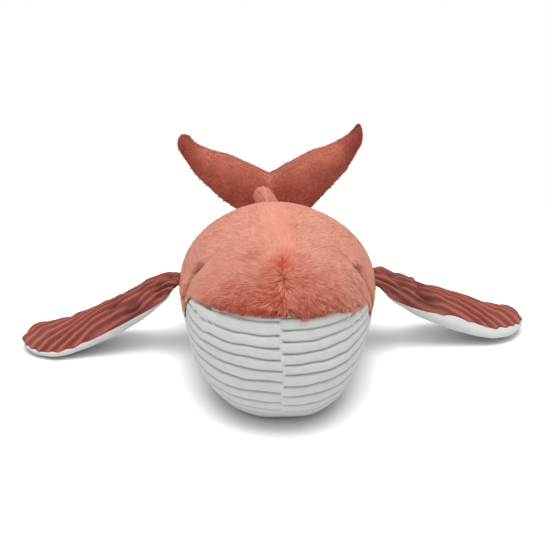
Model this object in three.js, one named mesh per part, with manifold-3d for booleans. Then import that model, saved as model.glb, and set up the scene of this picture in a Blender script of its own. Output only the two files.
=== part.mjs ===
// A plush whale that lies on its belly, sewn from long-pile fur, jumbo cord and short plush.
// Millimetres, +Z up. The nose points to -Y and the whale's own left side is +X.
// The origin lies on the floor, under the middle of the whole toy.
import * as THREE from "three";
import { mergeVertices } from "three/addons/utils/BufferGeometryUtils.js";
import Module from "manifold-3d";

const wasm = await Module();
wasm.setup();

// Fabrics, with the pile that stands up from each one
const furThickness = 4.5;
const cordThickness = 3.5;
const plushThickness = 2.5;
const seamGap = 0.3; // between two sewn edges, and between a piece and its seat
const stuffingGap = 0.7; // between the stuffing and the covers round it
const rimFullness = 0.6; // how a stuffed limb rounds off to its rim: less is fuller

// Body
const bodyLength = 325;
const bodyHalfWidth = 80;
const backHeight = 123;
const noseAhead = 193.2; // from the origin to the mouth line at the nose
const noseRounding = 75; // the length over which the head grows out of the nose
const browBluntness = 2.3;
const chinBluntness = 4;
const backFullness = 1.9; // of the section above its widest place: 2 is an ellipse, and more is squarer
const tailSwing = 8; // how far the tail end lies to the whale's right
const swingStartShare = 0.4;
const chinForward = 10; // how far the chin bulges ahead of the mouth line
// Each row: place along the body, then half width, middle, top and underside heights as
// shares of bodyHalfWidth and backHeight, then the side seam's rise as a share of the
// height above or below the middle, then the fullness of the section below its widest
// place. The belly runs below the floor, which presses it flat.
const bodyShares = [
  [0, 0.71, 0.745, 0.91, -0.03, 0, 2.9],
  [0.0615, 0.77, 0.7, 0.94, -0.03, 0.16, 2.9],
  [0.154, 0.825, 0.63, 0.965, -0.03, 0.2, 2.9],
  [0.2, 0.85, 0.6, 0.978, -0.03, 0, 2.8],
  [0.246, 0.88, 0.565, 0.988, -0.03, -0.15, 2.6],
  [0.369, 0.965, 0.51, 1, -0.03, -0.12, 2.1],
  [0.492, 1, 0.475, 0.99, -0.03, 0, 1.85],
  [0.677, 0.88, 0.4, 0.85, -0.024, 0, 1.9],
  [0.8, 0.63, 0.392, 0.69, 0.096, 0, 2],
  [0.923, 0.39, 0.44, 0.565, 0.32, 0, 2.3],
  [1, 0.27, 0.48, 0.512, 0.448, 0, 2.9],
];
const mouthHeight = bodyShares[0][2] * backHeight;
const noseRings = 7;
const noseCrowding = 2.6; // how much the first rings bunch up, where the nose is blunt
const cheekRings = 4; // round the eye, where the crease needs them
const trunkRings = 9;
const backColumns = 8;
const bellyColumns = 10;

// Eyes, each at the bottom of a crease that its washer pulls into the cheek
const eyeAlongShare = 0.258;
const eyeHeight = 84;
const creaseDepth = 5;
const creaseLength = 11;
const creaseHeight = 17;
const eyeRadius = 4.5;
const eyeDomeHeight = 3;
const eyeSink = 1.5; // how far the back of the dome presses into the pile
const shankRadius = 1.6;
const shankLength = 11;
const shankRibHeight = 0.35;
const shankRibs = 3;
const washerRadius = 7;
const washerThickness = 1.2;
const eyeSides = 14;
const domeSteps = 4;

// Pectoral fins
const finRootAlongShare = 0.492;
const finRootRadius = 1.5; // of the thin sewn edge, which turns about its own middle
const finSpan = 138;
const finChord = 52;
const finRim = 1.2;
const finHalfThickness = 9.5;
const finDrop = 9; // how far the outer end bends up from the straight line of the root
const finTwist = THREE.MathUtils.degToRad(-12);
// Each row: place along the span, then the front and back edges as shares of finChord, the
// half thickness as a share of finHalfThickness, and the bend and twist as shares of the whole
const finShares = [
  [0, -0.33, 0.33, 0.16, 0, 0],
  [0.04, -0.35, 0.36, 0.33, 0, 0],
  [0.15, -0.42, 0.4, 1.15, -0.38, 0.25],
  [0.35, -0.44, 0.51, 1.18, -0.5, 0.45],
  [0.6, -0.52, 0.53, 1.12, -0.14, 0.65],
  [0.8, -0.59, 0.45, 0.83, 0.38, 0.68],
  [0.93, -0.42, 0.38, 0.62, 0.92, 0.65],
  [1, -0.2, 0.22, 0.15, 1.2, 0.61],
];
const finRings = 10;
const finColumns = 8;
const curlStartShare = 0.6; // where the tip starts to curl up, by the length given as curl
const finPose = {
  left: { slope: THREE.MathUtils.degToRad(27), sweep: THREE.MathUtils.degToRad(10.5), curl: 4 },
  right: { slope: THREE.MathUtils.degToRad(29.6), sweep: THREE.MathUtils.degToRad(-4.3), curl: 9 },
};

// Tail fluke, in two stuffed lobes that share one seam with the body
const flukeHalfSpan = 99;
const flukeReach = 92;
const flukeRim = 1.2; // and the radius of the root edge, which turns about its own middle
const flukeHalfThickness = 11;
const flukeTilt = THREE.MathUtils.degToRad(45);
// Each row: place across the lobe, then its distance from the middle as a share of
// flukeHalfSpan, the front and back edges as shares of flukeReach, and the half thickness
const flukeShares = [
  [0, 0, 0, 0.485, 0.55],
  [0.2, 0.225, 0.02, 0.635, 0.8],
  [0.4, 0.42, 0.13, 0.75, 1],
  [0.6, 0.6, 0.305, 0.81, 1],
  [0.8, 0.765, 0.5, 0.9, 0.8],
  [0.92, 0.885, 0.74, 1.0, 0.5],
  [1, 0.925, 0.83, 0.99, 0.15],
];
const lobeRootFullness = 1.5; // as rimFullness, at the middle seam, where the lobe is flattest
const lobeBow = 1.5; // how late the lobe's lift sets in: 1 is a straight slope
const bowStartShare = 0.25; // past the seam with the body, so the lobes swing clear of it
const flukeRings = 8;
const flukeColumns = 8;
const lobePose = {
  left: { lift: THREE.MathUtils.degToRad(0), reachShare: 1.06 },
  right: { lift: THREE.MathUtils.degToRad(10), reachShare: 0.88 },
};

// Dorsal fin
const dorsalAlongShare = 0.755;
const dorsalAside = 4; // how far it is sewn to the whale's right of the back's middle
const dorsalRootRadius = 1.6;
const dorsalLength = 40;
const dorsalHeight = 17;
const dorsalHalfThickness = 7.5;
const dorsalLean = THREE.MathUtils.degToRad(22);
// Each row: height, then the front and back edges as shares of dorsalLength, and thickness
const dorsalShares = [
  [0, -0.5, 0.5, 0.2],
  [0.3, -0.38, 0.49, 0.9],
  [0.6, -0.2, 0.46, 1],
  [0.85, 0.02, 0.42, 0.7],
  [1, 0.16, 0.34, 0.15],
];
const dorsalRings = 5;
const dorsalColumns = 6;

const finishes = {
  fur: { color: 0xd98670, roughness: 0.95 },
  cord: { color: 0xcdcfcb, roughness: 0.9 },
  finCord: { color: 0x96504a, roughness: 0.9 },
  whitePlush: { color: 0xe1e4e1, roughness: 0.9 },
  flukePlush: { color: 0xb05c4e, roughness: 0.92 },
  stuffing: { color: 0xf2f2ee, roughness: 1 },
  eye: { color: 0x0c0b0b, roughness: 0.12 },
  washer: { color: 0xe8e6df, roughness: 0.5 },
};

const whale = new THREE.Group();
const sides = [["left", 1], ["right", -1]];

function addPiece(parent, name, geometry, finish) {
  const material = new THREE.MeshStandardMaterial({ metalness: 0, ...finishes[finish] });
  const mesh = new THREE.Mesh(geometry, material);
  mesh.name = name;
  parent.add(mesh);
}

// A group whose origin lies on a hinge line. Its pieces are drawn for the left side, and a
// side of -1 mirrors them.
function hingedGroup(hinge, side) {
  const group = new THREE.Group();
  group.position.copy(hinge);
  group.scale.x = side;
  whale.add(group);
  return group;
}

// A smooth curve through one column of a table, whose first column is the place along it. It
// never swings past the table's own values.
function follow(table, column, at) {
  const last = table.length - 1;
  const next = Math.min(Math.max(table.findIndex((row) => row[0] > at), 1), last);
  const row = at >= table[last][0] ? last : next;
  const [a, b] = [table[row - 1], table[row]];
  const slope = (i) => {
    const [before, here, after] = [table[Math.max(i - 1, 0)], table[i], table[Math.min(i + 1, last)]];
    const turns = (after[column] - here[column]) * (here[column] - before[column]) <= 0;
    if (turns && i > 0 && i < last) return 0;
    return (after[column] - before[column]) / (after[0] - before[0]);
  };
  const width = b[0] - a[0];
  const t = THREE.MathUtils.clamp((at - a[0]) / width, 0, 1);
  const rise = b[column] - a[column];
  const start = slope(row - 1) * width;
  const end = slope(row) * width;
  return a[column] + t * (start + t * (3 * rise - 2 * start - end + t * (start + end - 2 * rise)));
}

function signedVolume(points, triangles) {
  let volume = 0;
  for (const [a, b, c] of triangles) {
    volume += points[a].dot(new THREE.Vector3().crossVectors(points[b], points[c]));
  }
  return volume;
}

// Points and triangles become a geometry with shared corners, no empty triangle and outward faces.
function closedGeometry(points, triangles) {
  const loose = new THREE.BufferGeometry().setFromPoints(points);
  const facing = signedVolume(points, triangles) < 0 ? triangles.map(([a, b, c]) => [a, c, b]) : triangles;
  loose.setIndex(facing.flat());
  const welded = mergeVertices(loose);
  const index = welded.index.array;
  const kept = [];
  for (let i = 0; i < index.length; i += 3) {
    const [a, b, c] = [index[i], index[i + 1], index[i + 2]];
    if (a !== b && b !== c && c !== a) kept.push(a, b, c);
  }
  welded.setIndex(kept);
  return welded;
}

function quad(triangles, a, b, c, d) {
  triangles.push([a, b, c], [a, c, d]);
}

// A curved panel of cloth: an outer and an inner sheet of points, joined round their edges.
function panel(outer, inner, rows, columns) {
  const points = [];
  for (const sheet of [outer, inner]) {
    for (let i = 0; i <= rows; i += 1) {
      for (let j = 0; j <= columns; j += 1) points.push(sheet(i, j / columns));
    }
  }
  const at = (layer, i, j) => (layer * (rows + 1) + i) * (columns + 1) + j;
  const triangles = [];
  for (let i = 0; i < rows; i += 1) {
    for (let j = 0; j < columns; j += 1) {
      quad(triangles, at(0, i, j), at(0, i + 1, j), at(0, i + 1, j + 1), at(0, i, j + 1));
      quad(triangles, at(1, i, j), at(1, i, j + 1), at(1, i + 1, j + 1), at(1, i + 1, j));
    }
    quad(triangles, at(0, i + 1, 0), at(0, i, 0), at(1, i, 0), at(1, i + 1, 0));
    quad(triangles, at(0, i, columns), at(0, i + 1, columns), at(1, i + 1, columns), at(1, i, columns));
  }
  for (let j = 0; j < columns; j += 1) {
    quad(triangles, at(0, 0, j), at(0, 0, j + 1), at(1, 0, j + 1), at(1, 0, j));
    quad(triangles, at(0, rows, j + 1), at(0, rows, j), at(1, rows, j), at(1, rows, j + 1));
  }
  return closedGeometry(points, triangles);
}

// A stuffed core: rings of points joined into a tube, with a fan over each end.
function core(rings) {
  const columns = rings[0].length;
  const points = rings.flat();
  const at = (i, j) => i * columns + (j % columns);
  const triangles = [];
  for (let i = 0; i < rings.length - 1; i += 1) {
    for (let j = 0; j < columns; j += 1) {
      quad(triangles, at(i, j), at(i + 1, j), at(i + 1, j + 1), at(i, j + 1));
    }
  }
  for (const ring of [0, rings.length - 1]) {
    const hub = points.length;
    const middle = rings[ring].reduce((sum, point) => sum.add(point), new THREE.Vector3());
    points.push(middle.divideScalar(columns));
    for (let j = 0; j < columns; j += 1) {
      const [near, far] = ring ? [at(ring, j + 1), at(ring, j)] : [at(ring, j), at(ring, j + 1)];
      triangles.push([hub, near, far]);
    }
  }
  return closedGeometry(points, triangles);
}

function toSolid(geometry) {
  const bare = geometry.clone();
  bare.deleteAttribute("normal");
  bare.deleteAttribute("uv");
  const merged = mergeVertices(bare);
  const vertProperties = new Float32Array(merged.attributes.position.array);
  const triVerts = new Uint32Array(merged.index.array);
  return new wasm.Manifold(new wasm.Mesh({ numProp: 3, vertProperties, triVerts }));
}

function fromSolid(solid) {
  const mesh = solid.getMesh();
  const geometry = new THREE.BufferGeometry();
  geometry.setAttribute("position", new THREE.BufferAttribute(new Float32Array(mesh.vertProperties), 3));
  geometry.setIndex(new THREE.BufferAttribute(new Uint32Array(mesh.triVerts), 1));
  return geometry;
}

function cut(geometry, ...tools) {
  return fromSolid(tools.reduce((rest, tool) => rest.subtract(toSolid(tool)), toSolid(geometry)));
}

// Body
const bodyY = (along) => along * bodyLength - noseAhead;
const spineX = (along) => -tailSwing * THREE.MathUtils.smoothstep(along, swingStartShare, 1);

function growth(along, bluntness) {
  const left = 1 - Math.min((along * bodyLength) / noseRounding, 1);
  return (1 - left ** bluntness) ** (1 / bluntness);
}

function bodySection(along, inset) {
  const half = (size, bluntness) => Math.max(size - inset, seamGap / 2) * growth(along, bluntness);
  const [middle, top, underside] = [2, 3, 4].map((column) => follow(bodyShares, column, along) * backHeight);
  return {
    width: half(follow(bodyShares, 1, along) * bodyHalfWidth, browBluntness),
    middle,
    up: half(top - middle, browBluntness),
    down: half(middle - underside, chinBluntness),
  };
}

const sectionFullness = (along, rise) => (rise > 0 ? backFullness : follow(bodyShares, 6, along));

// The side seam's angle round the section, from 0 at the widest place to a quarter turn up or down.
function seamTurn(along) {
  const rise = follow(bodyShares, 5, along);
  return Math.sign(rise) * Math.asin(Math.abs(rise) ** (sectionFullness(along, rise) / 2));
}

function seamHeight(along) {
  const { middle, up, down } = bodySection(along, 0);
  const rise = follow(bodyShares, 5, along);
  return middle + rise * (rise > 0 ? up : down);
}

function chinBulge(y, z) {
  const down = THREE.MathUtils.clamp((mouthHeight - z) / mouthHeight, 0, 1);
  const back = THREE.MathUtils.clamp((y + noseAhead) / noseRounding, 0, 1);
  return chinForward * Math.sin(Math.PI * down) * Math.cos((Math.PI / 2) * back) ** 2;
}

function crease(y, z) {
  const away = (y - bodyY(eyeAlongShare)) / creaseLength;
  const above = (z - eyeHeight) / creaseHeight;
  return creaseDepth * Math.exp(-(away ** 2) - above ** 2);
}

// A point of the skin, or of a surface that lies inset below it. A turn of 0 is the widest
// place of the section, a quarter turn up is the back and a quarter turn down the belly.
function bodyPoint(along, turn, side, inset) {
  const section = bodySection(along, inset);
  const power = 2 / sectionFullness(along, turn);
  const out = section.width * Math.abs(Math.cos(turn)) ** power;
  const reach = turn > 0 ? section.up : section.down;
  const z = section.middle + Math.sign(turn) * reach * Math.abs(Math.sin(turn)) ** power;
  const y = bodyY(along) + inset * (1 - along);
  const x = side * Math.max(out - crease(y, z), seamGap / 2) + spineX(along);
  return new THREE.Vector3(x, y - chinBulge(y, z), Math.max(z, inset));
}

// Rings crowd together at the nose, where the head grows fast, and again round the eyes.
const headEndShare = noseRounding / bodyLength;
const cheekEndShare = 2 * eyeAlongShare - headEndShare;
const steps = (count, place) => Array.from({ length: count }, (_, i) => place(i / count));
const ringPlaces = [
  ...steps(noseRings, (share) => headEndShare * share ** noseCrowding),
  ...steps(cheekRings, (share) => THREE.MathUtils.lerp(headEndShare, cheekEndShare, share)),
  ...steps(trunkRings, (share) => THREE.MathUtils.lerp(cheekEndShare, 1, share)),
  1,
];
const bodyRows = ringPlaces.length - 1;

function backPanel(side) {
  const sheet = (inset) => (ring, across) => {
    const along = ringPlaces[ring];
    const turn = THREE.MathUtils.lerp(seamTurn(along), Math.PI / 2, across);
    const point = bodyPoint(along, turn, side, inset);
    point.z = Math.max(point.z, seamHeight(along) + seamGap / 2);
    return point;
  };
  return panel(sheet(0), sheet(furThickness), bodyRows, backColumns);
}

function bellyPanel(side) {
  const sheet = (inset) => (ring, across) => {
    const along = ringPlaces[ring];
    const turn = THREE.MathUtils.lerp(seamTurn(along), -Math.PI / 2, across);
    const point = bodyPoint(along, turn, side, inset);
    point.z = Math.min(point.z, seamHeight(along) - seamGap / 2);
    return point;
  };
  return panel(sheet(0), sheet(cordThickness), bodyRows, bellyColumns);
}

// The stuffing follows the covers ring by ring, and stops where the tail grows too thin for it.
function bodyStuffing() {
  const inset = Math.max(furThickness, cordThickness) + stuffingGap;
  const rings = [];
  for (const along of ringPlaces.slice(0, -1)) {
    const seam = seamTurn(along);
    const turns = [
      ...steps(bellyColumns, (share) => THREE.MathUtils.lerp(-Math.PI / 2, seam, share)),
      ...steps(backColumns, (share) => THREE.MathUtils.lerp(seam, Math.PI / 2, share)),
    ].slice(1);
    const keel = bodyPoint(along, -Math.PI / 2, 0, inset);
    const ridge = bodyPoint(along, Math.PI / 2, 0, inset);
    const [left, right] = [1, -1].map((side) => turns.map((turn) => bodyPoint(along, turn, side, inset)));
    rings.push([keel, ...left, ridge, ...right.reverse()]);
  }
  return core(rings);
}

// Eyes
function eyePlace(side) {
  const along = eyeAlongShare;
  const { middle, up, width } = bodySection(along, 0);
  const rise = (eyeHeight - middle) / up;
  const out = width * (1 - rise ** backFullness) ** (1 / backFullness) - creaseDepth;
  return new THREE.Vector3(side * (out - eyeSink), bodyY(along), eyeHeight);
}

// Half profiles run from the tip of the shank outwards, and the dome ends on the axis.
function domeProfile(grow) {
  const profile = [];
  for (let step = 0; step <= domeSteps; step += 1) {
    const angle = (Math.PI / 2) * (step / domeSteps);
    profile.push([(eyeRadius + grow) * Math.cos(angle), (eyeDomeHeight + grow) * Math.sin(angle)]);
  }
  return profile;
}

function eyeProfile(grow, ribs) {
  const pitch = shankLength / (2 * shankRibs);
  const shank = [[0, -shankLength - grow], [shankRadius + grow, -shankLength - grow]];
  for (let rib = 1; ribs && rib <= shankRibs; rib += 1) {
    const crest = pitch * rib - shankLength;
    shank.push([shankRadius - shankRibHeight, crest - pitch / 2], [shankRadius, crest]);
  }
  const shoulder = [[shankRadius + grow, -grow], [eyeRadius + grow, -grow]];
  return [...shank, ...shoulder, ...domeProfile(grow)];
}

function turnedPiece(profile, side, place) {
  const outline = profile.map(([x, y]) => new THREE.Vector2(Math.max(x, 0), y));
  const lathe = new THREE.LatheGeometry(outline, eyeSides);
  lathe.rotateZ((-side * Math.PI) / 2);
  return lathe.translate(place.x, place.y, place.z);
}

// The washer lies just inside the cover, and the stuffing is hollowed out for it.
const eyeWasherDepth = furThickness - eyeSink + 2 * seamGap;

function washerProfile(grow) {
  const face = -eyeWasherDepth + grow;
  const back = -eyeWasherDepth - washerThickness - grow;
  const bore = shankRadius + seamGap - grow;
  return [[bore, back], [washerRadius + grow, back], [washerRadius + grow, face], [bore, face], [bore, back]];
}

function addEye(name, side) {
  const place = eyePlace(side);
  addPiece(whale, `eye_${name}`, turnedPiece(eyeProfile(0, true), side, place), "eye");
  addPiece(whale, `eye_washer_${name}`, turnedPiece(washerProfile(0), side, place), "washer");
  const seats = [eyeProfile(seamGap, false), washerProfile(seamGap)];
  return seats.map((profile) => turnedPiece(profile, side, place));
}

const eyeSeats = { left: addEye("left", 1), right: addEye("right", -1) };

for (const [name, side] of sides) {
  addPiece(whale, `back_cover_${name}`, cut(backPanel(side), ...eyeSeats[name]), "fur");
  addPiece(whale, `belly_cover_${name}`, bellyPanel(side), "cord");
}
addPiece(whale, "body_stuffing", cut(bodyStuffing(), ...eyeSeats.left, ...eyeSeats.right), "stuffing");

// A stuffed limb is a middle sheet and its half thickness. Its two covers meet at the rim.
const nearbyShare = 1e-3; // between two places that show how the sheet slopes

function normalAt(middle, s, c) {
  const along = middle(s + nearbyShare, c).sub(middle(s - nearbyShare, c));
  const across = middle(s, c + nearbyShare).sub(middle(s, c - nearbyShare));
  return along.cross(across).normalize();
}

function limbSheet(limb, face, inset) {
  return (ring, across) => {
    const s = ring / limb.rings;
    const c = 2 * across - 1;
    const half = limb.half(s, c);
    const lift = inset ? Math.max(half - inset, seamGap / 2) : half;
    return limb.middle(s, c).addScaledVector(normalAt(limb.middle, s, c), face * lift);
  };
}

function limbCover(limb, face, thickness) {
  return panel(limbSheet(limb, face, 0), limbSheet(limb, face, thickness), limb.rings, limb.columns);
}

// The core of a limb stops one ring or column short of the edges, where the two covers meet.
function limbStuffing(limb, thickness) {
  const wide = 1;
  const rings = [];
  for (let i = limb.firstCoreRing; i < limb.rings; i += 1) {
    const point = (j, face) => {
      const [s, c] = [i / limb.rings, (2 * j) / limb.columns - 1];
      const lift = Math.max(limb.half(s, c) - thickness - stuffingGap, seamGap / 2);
      return limb.middle(s, c).addScaledVector(normalAt(limb.middle, s, c), face * lift);
    };
    const ring = [];
    for (let j = wide; j <= limb.columns - wide; j += 1) ring.push(point(j, 1));
    for (let j = limb.columns - wide; j >= wide; j -= 1) ring.push(point(j, -1));
    rings.push(ring);
  }
  return core(rings);
}

// Pectoral fins. The thin root edge is round about the hinge line, so it can turn in its seat.
function rootSpan(share, radius, length) {
  return share * (length + radius) - radius;
}

function rootHalf(out, radius, full) {
  return out < 0 ? Math.sqrt(Math.max(radius ** 2 - out ** 2, seamGap ** 2)) : full;
}

// The root edge stays on the hinge line, and what lies further out sweeps forward or back.
function finMiddle({ sweep, curl }) {
  return (s, c) => {
    const [front, back] = [1, 2].map((column) => follow(finShares, column, s) * finChord);
    const chordwise = (front + back) / 2 + (c * (back - front)) / 2;
    const twist = follow(finShares, 5, s) * finTwist;
    const curled = Math.max((s - curlStartShare) / (1 - curlStartShare), 0) ** 2;
    const rise = follow(finShares, 4, s) * finDrop + curled * curl;
    const out = rootSpan(s, finRootRadius, finSpan);
    const swept = Math.max(out, 0) * Math.tan(sweep);
    return new THREE.Vector3(out, swept + chordwise * Math.cos(twist), rise - chordwise * Math.sin(twist));
  };
}

function finHalf(s, c) {
  const thick = follow(finShares, 3, s) * finHalfThickness;
  const full = finRim + Math.max(thick - finRim, 0) * (1 - c * c) ** rimFullness;
  return rootHalf(rootSpan(s, finRootRadius, finSpan), finRootRadius, full);
}

function addFin(name, side) {
  const pose = finPose[name];
  const seat = bodyPoint(finRootAlongShare, seamTurn(finRootAlongShare), side, 0);
  const group = hingedGroup(seat.add(new THREE.Vector3(side * (seamGap + finRootRadius), 0, 0)), side);
  group.rotation.y = side * pose.slope;
  const limb = {
    middle: finMiddle(pose),
    half: finHalf,
    rings: finRings,
    columns: finColumns,
    firstCoreRing: 2,
  };
  addPiece(group, `fin_${name}_top`, limbCover(limb, 1, plushThickness), "finCord");
  addPiece(group, `fin_${name}_underside`, limbCover(limb, -1, plushThickness), "whitePlush");
  addPiece(group, `fin_${name}_stuffing`, limbStuffing(limb, plushThickness), "stuffing");
}

// Tail fluke. Each lobe bows up or down towards its tip.
function lobeMiddle({ lift, reachShare }) {
  return (s, c) => {
    const out = follow(flukeShares, 1, s);
    const [front, back] = [2, 3].map((column) => follow(flukeShares, column, s) * flukeReach);
    const stretch = THREE.MathUtils.lerp(1, reachShare, s);
    const reach = (front + back) / 2 + (c * (back - front)) / 2;
    const bow = flukeHalfSpan * Math.sin(lift) * Math.max(out - bowStartShare, 0) ** lobeBow;
    return new THREE.Vector3(out * flukeHalfSpan + seamGap / 2, reach * stretch, bow);
  };
}

function lobeHalf(s, c) {
  const thick = follow(flukeShares, 4, s) * flukeHalfThickness;
  const fullness = THREE.MathUtils.lerp(lobeRootFullness, rimFullness, s);
  return flukeRim + Math.max(thick - flukeRim, 0) * (1 - c * c) ** fullness;
}

function addLobe(name, side) {
  const seat = new THREE.Vector3(spineX(1), bodyY(1) + seamGap + flukeRim, bodySection(1, 0).middle);
  const group = hingedGroup(seat, side);
  group.rotation.x = flukeTilt;
  const limb = {
    middle: lobeMiddle(lobePose[name]),
    half: lobeHalf,
    rings: flukeRings,
    columns: flukeColumns,
    firstCoreRing: 1,
  };
  addPiece(group, `fluke_${name}_top`, limbCover(limb, 1, plushThickness), "flukePlush");
  addPiece(group, `fluke_${name}_underside`, limbCover(limb, -1, plushThickness), "flukePlush");
  addPiece(group, `fluke_${name}_stuffing`, limbStuffing(limb, plushThickness), "stuffing");
}

// Dorsal fin, of two fur faces back to back
function dorsalMiddle(s, c) {
  const [front, back] = [1, 2].map((column) => follow(dorsalShares, column, s) * dorsalLength);
  const chordwise = (front + back) / 2 + (c * (back - front)) / 2;
  return new THREE.Vector3(0, chordwise, rootSpan(s, dorsalRootRadius, dorsalHeight));
}

function dorsalHalf(s, c) {
  const thick = follow(dorsalShares, 3, s) * dorsalHalfThickness;
  const full = seamGap + Math.max(thick - seamGap, 0) * (1 - c * c) ** rimFullness;
  return rootHalf(rootSpan(s, dorsalRootRadius, dorsalHeight), dorsalRootRadius, full);
}

const dorsalFin = {
  middle: dorsalMiddle,
  half: dorsalHalf,
  rings: dorsalRings,
  columns: dorsalColumns,
};

function addDorsalFin() {
  const [front, back] = [-1, 1].map((end) => {
    const along = dorsalAlongShare + (end * dorsalLength) / 2 / bodyLength;
    return bodyPoint(along, Math.PI / 2, 0, 0);
  });
  const seat = bodyPoint(dorsalAlongShare, Math.PI / 2, 0, 0);
  seat.x -= dorsalAside;
  seat.z = Math.max(seat.z, (front.z + back.z) / 2) + seamGap + dorsalRootRadius;
  const group = hingedGroup(seat, 1);
  group.rotation.x = Math.atan2(back.z - front.z, back.y - front.y);
  group.rotation.y = -dorsalLean;
  addPiece(group, "dorsal_fin_left", limbCover(dorsalFin, -1, dorsalHalfThickness), "fur");
  addPiece(group, "dorsal_fin_right", limbCover(dorsalFin, 1, dorsalHalfThickness), "fur");
}

for (const [name, side] of sides) {
  addFin(name, side);
  addLobe(name, side);
}
addDorsalFin();

export default whale;
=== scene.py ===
# %% [markdown]
# # A plush whale
# The real toy is a stuffed bag with fins, sewn from four cloths: long-pile coral fur on the
# back, off-white jumbo cord on the belly, brick-red cord with a white plush underside on the
# side fins, and short dense plush on the tail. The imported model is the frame. Each cloth is
# dressed over it, in the same place, because a stuffed toy is judged by its cloth.

# %% Load the frame and keep its box
import math

import bpy
import numpy as np
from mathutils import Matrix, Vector, kdtree, noise


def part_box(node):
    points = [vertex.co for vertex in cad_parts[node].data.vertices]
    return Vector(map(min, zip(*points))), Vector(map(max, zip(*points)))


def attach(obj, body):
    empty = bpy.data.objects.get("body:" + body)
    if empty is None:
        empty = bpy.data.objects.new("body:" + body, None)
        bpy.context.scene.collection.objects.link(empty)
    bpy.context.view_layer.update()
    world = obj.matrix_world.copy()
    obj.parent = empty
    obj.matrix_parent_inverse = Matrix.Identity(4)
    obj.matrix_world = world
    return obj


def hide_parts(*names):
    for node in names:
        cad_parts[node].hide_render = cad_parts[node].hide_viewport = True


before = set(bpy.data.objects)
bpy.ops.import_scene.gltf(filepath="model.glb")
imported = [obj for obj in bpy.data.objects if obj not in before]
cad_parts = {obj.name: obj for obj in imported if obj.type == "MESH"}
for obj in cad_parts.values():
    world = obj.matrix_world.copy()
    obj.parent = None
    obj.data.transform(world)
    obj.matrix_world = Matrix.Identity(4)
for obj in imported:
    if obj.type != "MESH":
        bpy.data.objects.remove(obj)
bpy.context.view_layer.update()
bpy.ops.object.select_all(action="DESELECT")
rng = np.random.default_rng(7)
MM = 0.001
SIDES = {"left": 1, "right": -1}

# %% [markdown]
# ## The camera first
# The photograph looks down at the nose by 21 degrees, from about a metre away. The lens is worked
# out from the 550 pixels of the picture, in which 1150 pixels are the distance to the picture
# plane.

# %% The camera
PITCH = math.radians(21)
DISTANCE = 0.95
PICTURE_WIDTH, PLANE_AWAY = 550, 1150
camera = bpy.data.objects.new("camera", bpy.data.cameras.new("camera"))
bpy.context.scene.collection.objects.link(camera)
camera.data.sensor_width = 36
camera.data.lens = camera.data.sensor_width * PLANE_AWAY / PICTURE_WIDTH
aim = Vector((-0.0021, -0.0332, 0.060))
camera.location = aim + DISTANCE * Vector((0, -math.cos(PITCH), math.sin(PITCH)))
camera.rotation_euler = (math.pi / 2 - PITCH, 0, 0)
bpy.context.scene.camera = camera
print("lens", round(camera.data.lens, 1), "mm")

# %% [markdown]
# ## One small language for finishes
# A finish is a tree of nodes, and a tree is hard to read as a list of links. Here a Wire is
# one socket that can be added to, multiplied and so on, and a Finish adds any other node by
# its type, its settings and the values of its sockets.

# %% Shader maths as plain Python
class Wire:
    """One output of a node. Arithmetic on it adds Math nodes."""

    def __init__(self, finish, socket):
        self.finish, self.socket = finish, socket

    def _math(self, operation, a, b=0.0):
        return self.finish.node("Math", {"operation": operation}, {0: a, 1: b})

    def __add__(self, other):
        return self._math("ADD", self, other)

    def __sub__(self, other):
        return self._math("SUBTRACT", self, other)

    def __rsub__(self, other):
        return self._math("SUBTRACT", other, self)

    def __mul__(self, other):
        return self._math("MULTIPLY", self, other)

    def __pow__(self, other):
        return self._math("POWER", self, other)

    __radd__, __rmul__ = __add__, __mul__


class Finish:
    """A material whose nodes are added one call at a time."""

    def __init__(self, name, **sockets):
        self.material = bpy.data.materials.new(name)
        self.material.use_nodes = True
        self.tree = self.material.node_tree
        self.shader = self.tree.nodes["Principled BSDF"]
        self.set(**sockets)

    def set(self, **sockets):
        for name, value in sockets.items():
            self._feed(self.shader.inputs[name.replace("_", " ")], value)

    def _feed(self, socket, value):
        if isinstance(value, Wire):
            self.tree.links.new(value.socket, socket)
        else:
            socket.default_value = value

    def node(self, kind, settings, sockets, output=0):
        made = self.tree.nodes.new("ShaderNode" + kind)
        for name, value in settings.items():
            setattr(made, name, value)
        for name, value in sockets.items():
            self._feed(made.inputs[name], value)
        return Wire(self, made.outputs[output])

    def place(self):
        return self.node("TexCoord", {}, {}, "Object")

    def attribute(self, name):
        return self.node("Attribute", {"attribute_name": name}, {}, "Fac")

    def speckle(self, grain_mm, detail=2.0, rough=0.5):
        """Noise from 0 to 1, with patches of about that size."""
        scale = 1 / (grain_mm * MM)
        sockets = {"Vector": self.place(), "Scale": scale, "Detail": detail, "Roughness": rough}
        return self.node("TexNoise", {}, sockets, "Fac")

    def blend(self, share, low, high):
        """A colour from low to high, as share goes from 0 to 1."""
        settings = {"data_type": "RGBA", "clamp_factor": True}
        return self.node("Mix", settings, {0: share, 6: low, 7: high}, 2)

    def relief(self, height, depth_mm):
        sockets = {"Height": height, "Distance": depth_mm * MM, "Strength": 1.0}
        self.set(Normal=self.node("Bump", {}, sockets))


def colour(red, green, blue):
    """A colour as a paint program gives it, from 0 to 255, in the renderer's own numbers."""
    shares = np.array([red, green, blue]) / 255
    bright = np.where(shares <= 0.04045, shares / 12.92, ((shares + 0.055) / 1.055) ** 2.4)
    return tuple(bright.tolist()) + (1.0,)


# %% [markdown]
# ## The shape of the body
# The covers are cut so that the head grows bluntly out of the nose, the body is widest where
# the fins are sewn on, and the tail tapers to a flat lip. The frame was drawn from a table of
# sections. The same table is written here in millimetres, because cloth needs points much
# finer than the frame's, and it then lies exactly where the frame is.

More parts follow.
